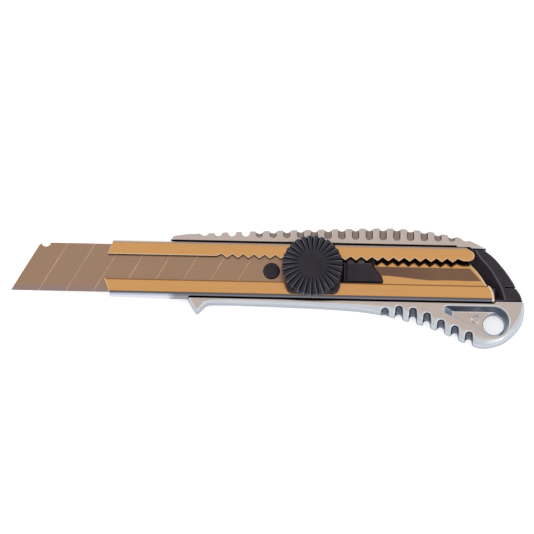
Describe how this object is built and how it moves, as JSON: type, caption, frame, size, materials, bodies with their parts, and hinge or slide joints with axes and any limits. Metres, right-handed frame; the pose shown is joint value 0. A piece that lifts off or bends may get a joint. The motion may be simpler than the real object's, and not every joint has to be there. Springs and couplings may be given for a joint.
{
  "type": "utility knife",
  "caption": "Snap-off blade utility knife: die-cast handle with a ribbed spine, toothed steel blade channel, screw lock wheel, sliding blade carriage and a plastic end cap.",
  "frame": {"origin": "on the flat back face, level with the lock wheel's stud along the length and with the blade's centre line across it", "axes": "+X from the blade's tip to the hanging hole, +Y from the cutting edge to the ribbed spine, +Z out of the front face"},
  "size_m": [0.1885, 0.0441, 0.0184],
  "materials": {
    "cast_aluminium": "satin die-cast, softly blasted",
    "gold_steel": "polished sheet with a gold tint, bright at the folds and cut edges",
    "blade_steel": "fine ground, warm tint",
    "bright_steel": "zinc-plated, satin",
    "brass": "turned",
    "black_plastic": "moulded, fine texture"
  },
  "bodies": {
    "handle": {"handle_casting": "cast_aluminium", "blade_channel": "gold_steel", "channel_screw_1": "bright_steel", "channel_screw_2": "bright_steel", "channel_screw_3": "bright_steel"},
    "carriage": {"slider_block": "black_plastic", "drag_spring": "bright_steel", "snap_off_blade": "blade_steel", "base_plate": "black_plastic", "flat_washer": "bright_steel", "spring_washer": "bright_steel"},
    "lock": {"lock_bar": "black_plastic", "lock_stud": "bright_steel"},
    "wheel": {"lock_wheel": "black_plastic", "wheel_insert": "brass"},
    "cap": {"end_cap": "black_plastic"}
  },
  "joints": [
    {"name": "blade_slide", "type": "slide", "parent": "handle", "child": "carriage", "axis": [1, 0, 0], "range_m": [-0.03546, 0.03546]},
    {"name": "wheel_turn", "type": "hinge", "parent": "carriage", "child": "wheel", "pos_m": [0, 0.0007, 0.0137], "axis": [0, 0, 1], "range_deg": [-540, 0]},
    {"name": "lock_lift", "type": "slide", "parent": "carriage", "child": "lock", "axis": [0, 0, 1], "range_m": [0, 0.0011]},
    {"name": "end_cap_pull", "type": "slide", "parent": "handle", "child": "cap", "axis": [1, 0, 0], "range_m": [0, 0.02]}
  ],
  "couplings": [
    {"joint": "lock_lift", "follows": "wheel_turn", "m_per_rad": -0.00011141}
  ]
}
